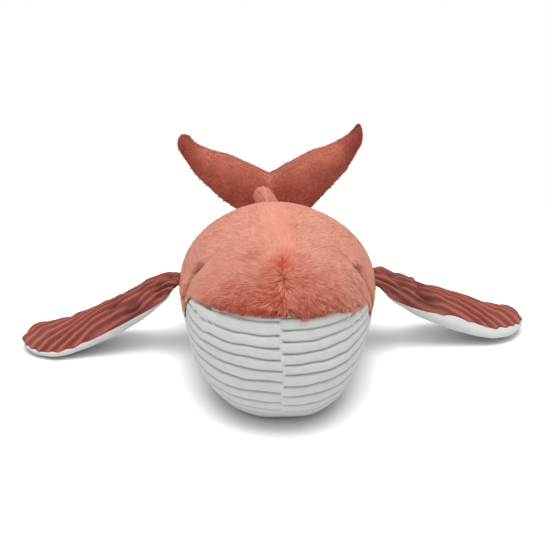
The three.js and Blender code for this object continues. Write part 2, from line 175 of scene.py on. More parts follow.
# %% The table of sections
LENGTH, HALF_WIDTH, HEIGHT, NOSE = 325.0, 80.0, 123.0, 193.2
HEAD = 75.0
BACK_FULLNESS = 1.9
# How far the tail lies to the whale's right, and how far the chin swells in front of the mouth.
TAIL_SWING, CHIN_SWELL = 8.0, 10.0
# The columns: place along the body, half width, height of the widest place, of the back and of
# the underside, how far up the back the side seam lies, and how square the belly is.
BODY = np.array([
    [0, 0.71, 0.745, 0.91, -0.03, 0, 2.9],
    [0.0615, 0.77, 0.7, 0.94, -0.03, 0.16, 2.9],
    [0.154, 0.825, 0.63, 0.965, -0.03, 0.2, 2.9],
    [0.2, 0.85, 0.6, 0.978, -0.03, 0, 2.8],
    [0.246, 0.88, 0.565, 0.988, -0.03, -0.15, 2.6],
    [0.369, 0.965, 0.51, 1, -0.03, -0.12, 2.1],
    [0.492, 1, 0.475, 0.99, -0.03, 0, 1.85],
    [0.677, 0.88, 0.4, 0.85, -0.024, 0, 1.9],
    [0.8, 0.63, 0.392, 0.69, 0.096, 0, 2],
    [0.923, 0.39, 0.44, 0.565, 0.32, 0, 2.3],
    [1, 0.27, 0.48, 0.512, 0.448, 0, 2.9],
])
MOUTH = BODY[0, 2] * HEIGHT


def follow(table, column, at):
    """A smooth curve through one column of a table, which never swings past its values."""
    at = np.asarray(at, float)
    x, y = table[:, 0], table[:, column]
    slope = np.empty(len(x))
    slope[0], slope[-1] = (y[1] - y[0]) / (x[1] - x[0]), (y[-1] - y[-2]) / (x[-1] - x[-2])
    turns = (y[2:] - y[1:-1]) * (y[1:-1] - y[:-2]) <= 0
    slope[1:-1] = np.where(turns, 0, (y[2:] - y[:-2]) / (x[2:] - x[:-2]))
    i = np.clip(np.searchsorted(x, at, side="right"), 1, len(x) - 1)
    width = x[i] - x[i - 1]
    t = np.clip((at - x[i - 1]) / width, 0, 1)
    rise, start, end = y[i] - y[i - 1], slope[i - 1] * width, slope[i] * width
    return y[i - 1] + t * (start + t * (3 * rise - 2 * start - end + t * (start + end - 2 * rise)))


def ease(value, low, high):
    """0 below low, 1 above high, and smooth between."""
    t = np.clip((value - low) / (high - low), 0, 1)
    return t * t * (3 - 2 * t)


def bump(value, middle, width):
    """1 at the middle, and falling softly to 0 on both sides of it."""
    return np.exp(-(((value - middle) / width) ** 2))


# %% A point of the skin
EYE = np.array([57.0, 0.258 * LENGTH - NOSE, 84.0])
# The depths of the hollow round the eye and of the fold behind it, and how full the cheek is.
HOLLOW, FOLD, CHEEK = 5.0, 7.0, 1.5
# The front seam lies a little to the whale's left of the middle, and wanders: height, place.
SEAM = np.array([
    [0, 3.0], [36, 2.7], [46, 4.3], [53, 4.1], [62, 2.3], [87, 1.8], [94, 3.7], [125, 4.3],
])


def growth(along, bluntness):
    """How much of its size the section has, as it grows out of the nose."""
    left = 1 - np.minimum(along * LENGTH / HEAD, 1)
    return (1 - left ** bluntness) ** (1 / bluntness)


def seam_turn(along):
    """The side seam's place round the section: 0 where it is widest, a quarter turn on top."""
    rise = follow(BODY, 5, along)
    fullness = np.where(rise > 0, BACK_FULLNESS, follow(BODY, 6, along))
    return np.sign(rise) * np.arcsin(np.abs(rise) ** (fullness / 2))


def fold(y, z):
    """1 along the fold behind the cheek, and 0 away from it."""
    return bump(y, EYE[1] + 1, 3.6) * bump(z, EYE[2] - 1, 15)


def crease(y, z):
    """How far the cheek is drawn in at the corner of the mouth, where the eye is set."""
    hollow = HOLLOW * bump(y, EYE[1], 11) * bump(z, EYE[2], 17)
    cheek = CHEEK * bump(y, EYE[1] - 12, 7) * bump(z, EYE[2], 20)
    return hollow + FOLD * fold(y, z) - cheek


def seam_x(y, z):
    """How far the seam on top and in front lies from the middle of the body."""
    return follow(SEAM, 1, z) * (1 - ease(y, -175, -70))


def body_point(along, turn, side):
    """A point of the skin: along the body from 0 to 1, and by a turn round its section."""
    middle, top, under = [follow(BODY, c, along) * HEIGHT for c in (2, 3, 4)]
    brow, chin = growth(along, 2.3), growth(along, 4)
    power = 2 / np.where(turn > 0, BACK_FULLNESS, follow(BODY, 6, along))
    out = follow(BODY, 1, along) * HALF_WIDTH * brow * np.abs(np.cos(turn)) ** power
    reach = np.where(turn > 0, (top - middle) * brow, (middle - under) * chin)
    z = middle + np.sign(turn) * reach * np.abs(np.sin(turn)) ** power
    y = along * LENGTH - NOSE
    x = side * np.maximum(out - crease(y, z), 0) - TAIL_SWING * ease(along, 0.4, 1)
    down = np.clip((MOUTH - z) / MOUTH, 0, 1)
    back = np.clip((y + NOSE) / HEAD, 0, 1)
    y = y - CHIN_SWELL * np.sin(np.pi * down) * np.cos(np.pi / 2 * back) ** 2
    x = x + seam_x(y, z) * (1 - np.clip(x / 60, -1, 1) ** 2)
    return np.stack(np.broadcast_arrays(x, y, np.maximum(z, 0)), -1)


def ring_places(count, front_mm, rear_mm):
    """Places along the body that lie evenly on the skin, closer together on the face."""
    fine = np.linspace(0, 1, 6000) ** 3
    turns = np.array([[-np.pi / 2], [-0.9], [0.0], [0.9], [np.pi / 2]])
    points = body_point(fine[None, :], turns, 1)
    step = np.linalg.norm(np.diff(points, axis=1), axis=2).max(axis=0)
    y = fine[1:] * LENGTH - NOSE
    want = front_mm + (rear_mm - front_mm) * ease(y, -150, -40)
    walked = np.concatenate([[0], np.cumsum(step / want)])
    return np.interp(np.linspace(0, walked[-1], count + 1), walked, fine)


# %% [markdown]
# ## From a sheet of points to a sewn panel
# A grid primitive has one vertex for each crossing of its lines. Its vertices are put on a
# sheet of points, and one more column of faces joins the two long edges behind the cloth, so
# the panel is closed. The first row of a head or a tip draws together into one point.

# %% Helpers for panels
def normals_of(points):
    """The outward direction of a sheet of points, row by row."""
    along = np.gradient(points, axis=0)
    across = np.gradient(points, axis=1)
    found = np.cross(along, across)
    size = np.linalg.norm(found, axis=2, keepdims=True)
    return found / np.maximum(size, 1e-9)


def object_mode(obj):
    if bpy.context.object and bpy.context.object.mode != "OBJECT":
        bpy.ops.object.mode_set(mode="OBJECT")
    bpy.ops.object.select_all(action="DESELECT")
    obj.select_set(True)
    bpy.context.view_layer.objects.active = obj


def write_values(mesh, key, values):
    """One number for each vertex, which a finish can read by its key."""
    made = mesh.attributes.new(key, "FLOAT", "POINT")
    made.data.foreach_set("value", values.astype(np.float32))


def panel(name, points, attributes=None):
    """A closed piece of cloth from a sheet of points in millimetres, faces outwards."""
    rows, columns = points.shape[0] - 1, points.shape[1] - 1
    bpy.ops.mesh.primitive_grid_add(x_subdivisions=columns + 1, y_subdivisions=rows, size=1)
    piece = bpy.context.object
    piece.name = piece.data.name = name
    sheet = np.concatenate([points, points[:, :1]], axis=1) * MM
    piece.data.vertices.foreach_set("co", sheet.reshape(-1).astype(np.float32))
    for key, values in (attributes or {}).items():
        write_values(piece.data, key, np.concatenate([values, values[:, :1]], axis=1).reshape(-1))
    object_mode(piece)
    bpy.ops.object.mode_set(mode="EDIT")
    bpy.ops.mesh.select_all(action="SELECT")
    bpy.ops.mesh.remove_doubles(threshold=1e-6)
    bpy.ops.mesh.select_all(action="DESELECT")
    bpy.ops.mesh.select_non_manifold(extend=False)
    bpy.ops.mesh.fill()
    bpy.ops.mesh.select_all(action="SELECT")
    bpy.ops.mesh.normals_make_consistent(inside=False)
    bpy.ops.object.mode_set(mode="OBJECT")
    bpy.ops.object.shade_smooth_by_angle(angle=math.radians(60))
    return piece


def dress(piece, body, finish, slot, *nodes):
    """The piece gets its finish, rides on its body and stands for those nodes of the frame."""
    piece.data.materials.clear()
    piece.data.materials.append(finish.material)
    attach(piece, body)
    if nodes:
        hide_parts(*nodes)
    print(f"{piece.name}: {len(piece.data.polygons)} faces, rides on {body}")
    return piece


# %% [markdown]
# ## The belly, in jumbo cord
# Jumbo cord is velvet woven in fat ribs about 10 mm apart; the finish paints shade into the groove
# between.
# On the chin the ribs lie level and run back along the sides. The two halves of the belly
# meet in a seam down the chin, where the ribs of one half don't meet those of the other, so
# each half has its own list of grooves, measured down the chin. The ribs are real shape and
# not paint, because they show in the outline.

# %% How far down the chin a height lies
keel = body_point(np.linspace(0, 1, 3000) ** 3, np.full(3000, -np.pi / 2), 1)
keel = keel[: np.argmax(keel[:, 2] <= 0) + 1]
steps = np.linalg.norm(np.diff(keel[:, 1:], axis=0), axis=1)
keel_down = np.concatenate([[0], np.cumsum(steps)])


def down_chin(z):
    """How far from the mouth a height lies, measured down over the chin."""
    return np.where(z > MOUTH, MOUTH - z, np.interp(-z, -keel[:, 2], keel_down))


print("the chin is", round(float(keel_down[-1])), "mm round, from mouth to floor")

# %% The grooves of each half
# Where each half's first groove lies, how far apart the next ones are, and the usual pitch.
FIRST = {"left": 10.8, "right": 4.6}
GAPS = {
    "left": [8.1, 8.0, 8.2, 8.0, 9.1, 9.4, 9.6],
    "right": [10.0, 8.8, 8.0, 8.7, 8.5, 9.6, 9.8, 9.4],
}
CORD_PITCH, CORD_DEPTH, GROOVE_WIDTH = 9.5, 2.0, 0.9


def groove_places(name):
    """All grooves of one half: those that were counted, with evenly spaced ones on both sides."""
    first = FIRST[name]
    places = first + np.concatenate([[0], np.cumsum(GAPS[name])])
    before = first - CORD_PITCH * np.arange(6, 0, -1)
    after = places[-1] + CORD_PITCH * np.arange(1, 22)
    return np.concatenate([before, places, after])


def rib_height(measured, name):
    """From 0 in a groove to 1 on the crest of a rib."""
    grooves = groove_places(name)
    i = np.clip(np.searchsorted(grooves, measured), 1, len(grooves) - 1)
    pitch = grooves[i] - grooves[i - 1]
    share = np.clip((measured - grooves[i - 1]) / pitch, 0, 1)
    near = np.minimum(share, 1 - share) * pitch
    bulge = np.sqrt(np.maximum(4 * share * (1 - share), 0))
    return 0.5 * bulge + 0.5 * (1 - bump(near, 0, GROOVE_WIDTH))


print("grooves counted on the chin:", {name: len(GAPS[name]) + 1 for name in SIDES})


# %% Sew the belly
def wander(points, size):
    """Smooth noise from about -1 to 1 at each point, with patches of that size in mm."""
    flat = np.asarray(points).reshape(-1, 3) / size
    return 1.6 * np.array([noise.noise(p) for p in flat.tolist()]).reshape(np.shape(points)[:-1])


def belly_sheet(name, rows=270, columns=210):
    side = SIDES[name]
    along = ring_places(rows, 0.6, 2.6)[:, None]
    share = np.linspace(0, 1, columns + 1)[None, :]
    turn = seam_turn(along) * (1 - share) - np.pi / 2 * share
    skin = body_point(along, turn, side)
    height = skin[..., 2]
    level = down_chin(height)
    under = ease(skin[..., 1], -150, -105) * (height < follow(BODY, 2, along) * HEIGHT)
    slip = np.abs(np.diff(skin[..., 0], axis=1)) * under[:, 1:]
    walked = np.sqrt(np.diff(level, axis=1) ** 2 + slip ** 2)
    walked = np.concatenate([np.zeros((rows + 1, 1)), np.cumsum(walked, axis=1)], axis=1)
    rib = rib_height(level[:, :1] + walked + 0.65 * wander(skin, 15), name)
    # Both halves end at the same height, so the seam itself hardly shows.
    seam = np.abs(skin[..., 0] - skin[:, -1:, 0])
    hold = bump(seam, 0, 0.7) * (skin[..., 1] < 0)
    return skin, rib * (1 - hold) + 0.8 * hold


def sew_belly(name):
    skin, rib = belly_sheet(name)
    outward = normals_of(skin) * (-SIDES[name])
    outward[0] = (0, -1, 0)
    edge = np.linalg.norm(skin - skin[:, :1], axis=2)
    tuck = 2.0 * bump(edge, 0, 2.5)
    out = -1.5 + CORD_DEPTH * rib - tuck + 0.6 * wander(skin, 22)
    points = skin + outward * out[..., None]
    points[..., 2] = np.maximum(points[..., 2], 0.05)
    return panel(f"belly_cord_{name}", points, {"rib": rib})


# %% The cord's finish
VELVET = {"Roughness": 0.9, "Sheen_Weight": 0.3, "Sheen_Roughness": 0.5}
belly_cord = Finish("belly cord", Specular_IOR_Level=0.3, **VELVET)
nap = belly_cord.speckle(0.9, 3.0, 0.65)
brushed = belly_cord.speckle(7, 2.0)
depth = belly_cord.attribute("rib")
pale = belly_cord.blend(brushed, colour(222, 224, 220), colour(238, 240, 236))
# Painted shade: the cord is coloured darker down in each groove between the ribs, where shade
# falls.
pale = belly_cord.blend((depth * 1.25) ** 0.7, colour(128, 130, 126), pale)
belly_cord.set(Base_Color=belly_cord.blend(nap * 0.3, pale, colour(186, 188, 184)))
belly_cord.relief(nap, 0.8)

for name in SIDES:
    belly = dress(sew_belly(name), "body", belly_cord, "belly_cord", f"belly_cover_{name}")

# %% [markdown]
# ## The back, under the fur
# The fur is knitted into a cloth backing. Only a little of it shows, where the pile parts at
# the front seam and round the eyes, so this piece is smooth and has the dark colour that the
# roots of the pile have.

# %% Sew the back
def back_sheet(name, rows=170, columns=90):
    along = ring_places(rows, 1.3, 2.8)[:, None]
    share = np.linspace(0, 1, columns + 1)[None, :]
    turn = seam_turn(along) * (1 - share) + np.pi / 2 * share
    return body_point(along, turn, SIDES[name])


def sew_back(name):
    skin = back_sheet(name)
    outward = normals_of(skin) * SIDES[name]
    outward[0] = (0, -1, 0)
    seam = np.abs(skin[..., 0] - skin[:, -1:, 0])
    face = 1 - ease(skin[..., 1], -160, -120)
    # The cloth lies below the roots of the pile, and deeper along the seam of the face.
    out = -1.2 - 1.8 * face * bump(seam, 0, 2.2)
    painted_fold_shade = fold(skin[..., 1], skin[..., 2])
    return panel(f"back_cloth_{name}", skin + outward * out[..., None], {"fold": painted_fold_shade})


fur_backing = Finish("fur backing", Roughness=0.95)
# Dark on the face and pale from the eyes to the tail: from 0 at y = -171 mm to 1 at y = -100 mm.
towards_tail = fur_backing.node("SeparateXYZ", {}, {0: fur_backing.place()}, "Y") * 14 + 2.4
patchy = fur_backing.blend(fur_backing.speckle(5), colour(124, 50, 38), colour(152, 70, 54))
backing = fur_backing.blend(towards_tail, patchy, colour(222, 146, 124))
# Painted shade: the backing is coloured darker in the fold behind each cheek, where shade falls.
backing = fur_backing.blend(fur_backing.attribute("fold") * 2.5, backing, colour(124, 62, 50))
fur_backing.set(Base_Color=backing)
fur_backing.relief(fur_backing.speckle(1.2), 0.6)

for name in SIDES:
    back = dress(sew_back(name), "body", fur_backing, "coral_fur", f"back_cover_{name}")
    if name == "left":
        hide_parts("body_stuffing")

# %% [markdown]
# ## The fur
# Long pile lies in wisps: a few hundred hairs that lean together and end in one soft point.
# Single hairs would be far too many faces, and painted streaks would leave a smooth outline,
# so one wisp is modelled once and copied tens of thousands of times. Each copy has its own
# place, length, lean and tint. Neighbours lean towards a shared point, which makes the locks
# that the photograph shows. Each wisp is lit mostly as the skin under it is, because real
# pile is far finer than a wisp, and takes the light as one soft surface.

# %% One wisp
bpy.ops.mesh.primitive_grid_add(x_subdivisions=1, y_subdivisions=3, size=1)
wisp = bpy.context.object
wisp.name = "wisp"
for vertex in wisp.data.vertices:
    share = vertex.co.y + 0.5
    width = {0: 1.0, 1: 0.95, 2: 0.65, 3: 0.0}[round(share * 3)]
    vertex.co = (vertex.co.x * width, share, 1 - (1 - share) ** 2)
object_mode(wisp)
bpy.ops.object.mode_set(mode="EDIT")
bpy.ops.mesh.select_all(action="SELECT")
bpy.ops.mesh.remove_doubles(threshold=1e-4)
bpy.ops.object.mode_set(mode="OBJECT")
WISP = np.array([v.co for v in wisp.data.vertices])
WISP_CORNERS = np.array([corner for face in wisp.data.polygons for corner in face.vertices])
WISP_STARTS = np.array([face.loop_start for face in wisp.data.polygons])
bpy.data.objects.remove(wisp)
print("one wisp:", len(WISP), "points,", len(WISP_STARTS), "faces")


# %% Scatter the roots
def scatter(skin, outward, density, count):
    """Random places on a sheet of points, more of them where density is higher."""
    a, b, c = skin[:-1, :-1], skin[1:, :-1], skin[:-1, 1:]
    area = np.linalg.norm(np.cross(b - a, c - a), axis=2) * density[:-1, :-1]
    chosen = rng.choice(area.size, count, p=(area / area.sum()).reshape(-1))
    i, j = np.unravel_index(chosen, area.shape)
    s, t = rng.random((2, count, 1))

    def at(sheet):
        low = sheet[i, j] * (1 - s) + sheet[i + 1, j] * s
        high = sheet[i, j + 1] * (1 - s) + sheet[i + 1, j + 1] * s
        return low * (1 - t) + high * t

    normal = at(outward)
    return at(skin), normal / np.linalg.norm(normal, axis=1, keepdims=True)


def combed(field, normal, angle):
    """The field laid flat on the skin, then turned by an angle about the normal."""
    flat = field - normal * (field * normal).sum(1, keepdims=True)
    flat /= np.maximum(np.linalg.norm(flat, axis=1, keepdims=True), 1e-6)
    return flat * np.cos(angle)[:, None] + np.cross(normal, flat) * np.sin(angle)[:, None]


# %% Gather neighbours into locks
def lean_together(root, direction, length, lock_mm, pull):
    """How far each tip moves towards the tip of its lock's middle wisp, and which wisp that is."""
    middles = rng.choice(len(root), max(len(root) // 16, 1), replace=False)
    tree = kdtree.KDTree(len(middles))
    for k, m in enumerate(middles):
        tree.insert(root[m], k)
    tree.balance()
    lock = middles[[tree.find(p)[1] for p in root.tolist()]]
    tip = root + direction * length[:, None]
    lock_tip = root[lock] + direction[lock] * length[lock][:, None]
    near = bump(np.linalg.norm(root - root[lock], axis=1), 0, lock_mm)
    return (lock_tip - tip) * (pull * near)[:, None], lock


# %% Copy the wisp to every root
def grow(name, root, normal, direction, length, width, lift, shift, tint,
         light_tilt=0.25, turned=0.12, painted_shade=0.0):
    """One piece of fur. light_tilt is how far a wisp's light follows its own lean, turned is how
    far it rolls on its own length, and painted_shade is the share given its root's darker colour as
    painted shade."""
    roll = rng.normal(0, turned, len(root))[:, None]
    across = np.cross(direction, normal)
    across = across * np.cos(roll) + normal * np.sin(roll)
    x, u, rise = WISP[:, 0], WISP[:, 1], WISP[:, 2]
    points = root[:, None] + across[:, None] * (width[:, None] * x)[..., None]
    points = points + direction[:, None] * (length[:, None] * u)[..., None]
    points = points + normal[:, None] * ((lift * length)[:, None] * rise)[..., None]
    points = (points + shift[:, None] * (u ** 2)[:, None]) * MM
    copies = np.arange(len(root))[:, None]
    corners = (copies * len(WISP) + WISP_CORNERS).reshape(-1)
    starts = (copies * len(WISP_CORNERS) + WISP_STARTS).reshape(-1)
    mesh = bpy.data.meshes.new(name)
    mesh.vertices.add(points.size // 3)
    mesh.vertices.foreach_set("co", points.reshape(-1).astype(np.float32))
    mesh.loops.add(len(corners))
    mesh.loops.foreach_set("vertex_index", corners.astype(np.int32))
    mesh.polygons.add(len(starts))
    mesh.polygons.foreach_set("loop_start", starts.astype(np.int32))
    mesh.update(calc_edges=True)
    painted_shade = np.broadcast_to(painted_shade, (len(root),))
    write_values(mesh, "strand", np.tile(u, len(root)) - np.repeat(painted_shade, len(WISP)))
    write_values(mesh, "tint", np.repeat(tint, len(WISP)))
    lay_out(mesh, len(root), corners)
    piece = bpy.data.objects.new(name, mesh)
    bpy.context.scene.collection.objects.link(piece)
    object_mode(piece)
    bpy.ops.object.shade_smooth()
    tilt = rng.normal(0, light_tilt, (len(root), 1)) * across
    tilt = tilt + light_tilt * direction * rng.random((len(root), 1))
    lit = normal[:, None] + tilt[:, None] * u[:, None]
    lit /= np.linalg.norm(lit, axis=2, keepdims=True)
    mesh.normals_split_custom_set_from_vertices(lit.reshape(-1, 3).tolist())
    print(name, "has", len(root), "wisps")
    return piece


def lay_out(mesh, count, corners):
    """A flat layout in which every wisp has a small square of its own."""
    cells = math.ceil(math.sqrt(count))
    copy, vertex = np.divmod(corners, len(WISP))
    filled = 0.7
    u = (copy % cells + 0.5 + WISP[vertex, 0] * filled) / cells
    v = (copy // cells + (1 - filled) / 2 + WISP[vertex, 1] * filled) / cells
    layer = mesh.uv_layers.new(name="OFBake")
    layer.data.foreach_set("uv", np.stack([u, v], 1).reshape(-1).astype(np.float32))


# %% [markdown]
# The pile is combed two ways. On the back it lies towards the tail and down the sides. On the
# brow it hangs down to the mouth and away from the front seam. Where the two ways part, the
# darker roots show, and the folds behind the cheeks are given painted shade. At the mouth it is
# trimmed, so that only a fringe of a millimetre or two hangs over the cord.

# %% Which way the pile lies
# The fold behind each cheek, where the pile is pressed down: places along the body, and heights.
POCKET = {
    "left": [(-104, 93), (-107, 84), (-107, 74), (-105, 62)],
    "right": [(-104, 95), (-107, 84), (-107, 74), (-106, 66)],
}
# A step behind the fold counts this much, so that the fold fades slowly towards the tail.
FOLD_TRAIL = 0.42
# Darker patches of the brow: how dark, then place and reach across, and along the body.
PATCHES = [(0.55, 3.7, 7, -151, 13), (0.4, -18, 8, -138, 7), (0.3, 16, 6, -143, 4)]


def fur_field(points, normal):
    """The pile's own direction, and how much of it is the brow's."""
    x = points[:, 0] - seam_x(points[:, 1], points[:, 2])
    parted = ease(-points[:, 1], 158, 170)
    side = np.tanh(x / (20 - 18.5 * parted))[:, None]
    corner = ease(points[:, 0], 36, 48) * ease(-points[:, 1], 118, 134) * ease(points[:, 2], 60, 72)
    brow = np.maximum(ease(-normal[:, 1], 0.12, 0.52), corner)
    lean = 0.3 + 0.2 * bump(x, 0, 12) + 0.95 * ease(-x, 4, 40) + 0.3 * ease(x, 12, 45)
    on_brow = np.array([0, -0.15, -1.0]) + np.array([1.0, 0, 0]) * side * lean[:, None]
    on_back = np.array([0, 0.8, -0.8]) + np.array([0.6, 0, 0]) * side
    share = brow[:, None]
    return on_brow * share + on_back * (1 - share), brow


def mouth_height(points):
    """How far a point of the face lies above the seam with the cord."""
    along = np.clip((points[:, 1] + NOSE) / LENGTH, 0, 1)
    return points[:, 2] - body_point(along, seam_turn(along), 1)[:, 2]


def step_to_edge(points, name):
    """The step from each point to the nearest place of the seam with the cord."""
    along = np.linspace(0, 1, 1500) ** 1.5
    edge = body_point(along, seam_turn(along), SIDES[name])
    tree = kdtree.KDTree(len(edge))
    for k, place in enumerate(edge):
        tree.insert(place, k)
    tree.balance()
    return edge[[tree.find(p)[1] for p in points.tolist()]] - points


def step_to_fold(points, name):
    """The step from each point to the line of the fold behind the cheek, seen from the side."""
    steps = np.full((len(points), 2), 1e3)
    line = np.array(POCKET[name], float)
    for a, b in zip(line[:-1], line[1:]):
        share = np.clip((points[:, 1:] - a) @ (b - a) / ((b - a) @ (b - a)), 0, 1)
        step = a + share[:, None] * (b - a) - points[:, 1:]
        closer = np.linalg.norm(step, axis=1) < np.linalg.norm(steps, axis=1)
        steps[closer] = step[closer]
    return steps


def pocket(points, name, width=2.6):
    """1 in the fold behind the cheek, and 0 away from it."""
    step = step_to_fold(points, name)
    behind = np.where(step[:, 0] < 0, FOLD_TRAIL, 1.0)
    return bump(np.hypot(step[:, 0] * behind, step[:, 1]), 0, width)


def fur_tint(root, name):
    """Pale on top, deeper where hanging or parted pile shows its roots, and with painted shade."""
    x, y, z = root.T
    # Painted shade, in part: the face is deeper, partly for the darker roots its hanging pile shows
    # and partly for the shade it lies in.
    face = ease(-y, 134, 180) * (1 - 0.6 * np.clip(np.abs(x + 4) / 60, 0, 1) ** 2)
    patches = sum(d * bump(x, a, w) * bump(y, b, h) for d, a, w, b, h in PATCHES)
    # Painted shade: a strip down the middle of the back is darker, against the light it catches
    # there.
    patches = patches + 0.14 * bump(x, 3, 14) * ease(y, -145, -130)
    seam = 0.3 * bump(x, seam_x(y, z), 0.8) * (y < -160)
    # Painted shade along the mouth, where the fringe overhangs the cord.
    mouth = 0.3 * bump(mouth_height(root), 0, 5) * (y < -160) * (1 - 0.8 * ease(x, 5, 35))
    # Painted shade in the fold behind the cheek.
    return 0.86 - 0.46 * face - patches - seam - mouth - 0.3 * pocket(root, name)


def streaks(root, direction, size, reach):
    """Noise that is smeared along the pile, so it looks brushed."""
    return sum(wander(root + direction * step, size) for step in np.linspace(0, reach, 5)) / 5


# %% Root the fur of the back
def fur_roots(name, count):
    """Where the wisps of one half stand. None stands on the lips or in the fold."""
    skin = back_sheet(name)
    outward = normals_of(skin) * SIDES[name]
    outward[0] = outward[1]
    density = 1 + 1.3 * (1 - ease(skin[..., 1], -170, -60))
    root, normal = scatter(skin, outward, density, count)
    lips = (root[:, 1] < -135) & (mouth_height(root) < 0.9)
    keep = ~(lips | (pocket(root, name, 0.5) > 0.5))
    return root[keep], normal[keep]


# %% Comb the fur of the back
def comb_back(name, root, normal):
    """The way each wisp lies, how much of it is the brow's and how much hangs over the side
    seam, how far it is from the cord, and the way there."""
    field, brow = fur_field(root, normal)
    step = step_to_edge(root, name)
    above = np.linalg.norm(step, axis=1)
    over = step / np.maximum(above, 1e-6)[:, None]
    # Along the sides the pile fans out over the seam, and hides it.
    hem = (1 - brow) * bump(above, 0, 6)
    field = field + over * (1.6 * hem)[:, None]
    spread = 0.3 + 0.7 * brow
    angle = spread * (0.8 * wander(root, 24) + 0.5 * wander(root, 9))
    angle = angle + (0.1 + 0.65 * brow) * wander(root, 4)
    angle = angle + rng.normal(0, 1, len(root)) * (0.12 + 0.22 * brow)
    return combed(field, normal, angle), brow, hem, above, over


# %% Trim the fur of the back
def trim_back(name, root, direction, brow, above, over):
    """The length of each wisp."""
    length = (8.0 + 1.5 * brow) * rng.uniform(0.75, 1.15, len(root))
    # The fringe over the mouth is uneven, and one tuft hangs lower than the rest.
    cheek = ease(root[:, 0], 38, 52) * ease(-root[:, 1], 126, 138)
    tuft = 4.5 * bump(root[:, 0], 19, 3.5) * (root[:, 1] < -135)
    hang = 0.9 + 1.7 * wander(root, 3.2) + tuft + 6 * cheek
    room = (above + hang) / np.maximum((direction * over).sum(1), 0.15)
    length = np.minimum(length + 5 * cheek * bump(above, 0, 9), np.maximum(room, 2.2))
    # No wisp reaches over the fold behind the cheek.
    fold_step = step_to_fold(root, name)
    ahead = (direction[:, 1:] * fold_step).sum(1) > 0
    gap = np.linalg.norm(fold_step, axis=1) - 4.5 * bump(root[:, 2], EYE[2], 5)
    return np.where(ahead, np.minimum(length, np.maximum(gap, 1.5)), length)


# %% Tint the fur of the back
def tint_back(name, root, seen, direction, lock, brow, above):
    """The tint of each wisp, which is that of the place where it is seen, past its root."""
    lock_edge_shade = np.clip(np.linalg.norm(root - root[lock], axis=1) / 3.2, 0, 1) ** 2
    rough = bump(above, 0, 14) * brow
    on_cheek = ease(np.abs(root[:, 0]), 30, 56)
    tint = fur_tint(seen, name) + 0.05 * wander(root, 26)
    tint = tint + (0.05 + 0.14 * brow + 0.1 * rough) * wander(root[lock], 3)
    # Painted shade: wisps at the edges of a lock are darker, as in the shade between locks.
    tint = tint - (0.06 + 0.34 * brow) * lock_edge_shade
    tint = tint + (0.12 + 0.18 * brow) * streaks(root, direction, 2.4, 10)
    tint = tint + 0.12 * brow * wander(root, 8)
    tint = tint + rng.normal(0, 1, len(root)) * (0.05 + 0.08 * brow) + 0.08 * brow
    # Painted shade in the fold behind the cheek, and painted light on the cheeks, against the shade
    # that hanging wisps cast there.
    tint = tint - 0.3 * pocket(root, name, 4.2) + 0.16 * brow * on_cheek
    # Painted shade and highlights: a few wisps are coloured dark, as if in shade, and a few light,
    # as if catching the light.
    chance = rng.random(len(root))
    painted_glints_and_shade = 0.22 * (chance > 0.92) - 0.4 * (chance < 0.13)
    return tint + brow * painted_glints_and_shade * ease(-root[:, 1], 120, 150)


# %% Grow the fur of the back
def grow_back(name, part, root, normal):
    direction, brow, hem, above, over = comb_back(name, root, normal)
    length = trim_back(name, root, direction, brow, above, over)
    on_cheek = ease(np.abs(root[:, 0]), 30, 56)
    lift = 0.05 + 0.2 * brow * (1 - 0.6 * on_cheek) + 0.22 * hem + rng.normal(0, 0.02, len(root))
    width = rng.uniform(0.45, 0.75, len(root)) * (1 if part == "front" else 1.35)
    shift, lock = lean_together(root, direction, length, 3.6, 0.14 + 0.56 * brow)
    seen = root + direction * (0.55 * length)[:, None]
    tint = tint_back(name, root, seen, direction, lock, brow, above)
    deep = root - normal * (1.2 - 0.9 * hem)[:, None]
    shine = 0.32 if part == "front" else 0.12
    # In the fold behind the cheek each wisp keeps more of its darker root colour, as painted shade.
    piece = grow(f"fur_{name}_{part}", deep, normal, direction, length, width, lift, shift, tint,
                 light_tilt=shine, painted_shade=pocket(seen, name, 3.0))
    dress(piece, "body", coral_fur, "coral_fur")


# %% The fur's finish
def fur_finish(name, roots, tips):
    """Darker at the root, and from deep to light by the wisp's own tint."""
    made = Finish(name, Roughness=0.9, Specular_IOR_Level=0.2, Sheen_Weight=0.05,
                  Sheen_Roughness=0.5)
    tint = made.attribute("tint")
    share = made.attribute("strand") * 1.6 + 0.15
    made.set(Base_Color=made.blend(share, made.blend(tint, *roots), made.blend(tint, *tips)))
    return made


coral_fur = fur_finish("coral fur", (colour(130, 46, 32), colour(216, 142, 122)),
                       (colour(194, 68, 42), colour(241, 173, 150)))
HALF_WISPS = 78000
# Each half's fur is three pieces, so that none has too many faces: where each begins and ends.
PARTS = [("front", -250, -105), ("middle", -105, 0), ("rear", 0, 250)]
for name in SIDES:
    root, normal = fur_roots(name, HALF_WISPS)
    for part, start, end in PARTS:
        chosen = (root[:, 1] >= start) & (root[:, 1] < end)
        grow_back(name, part, root[chosen], normal[chosen])

# %% [markdown]
# ## Stuffed limbs
# A fin or a tail lobe is two cloths sewn round their rim and stuffed between. It is described
# by a middle sheet and by half its thickness, which falls to nothing at the seam. Each cloth
# is then a panel of its own, so that it can have its own finish.

# %% A limb's cloth
def rounded(s, start):
    """1 along the limb, then falling to 0 at its tip as a half circle does."""
    t = np.clip((s - start) / (1 - start), 0, 1)
    return np.sqrt(np.maximum(1 - t ** 2.2, 0))


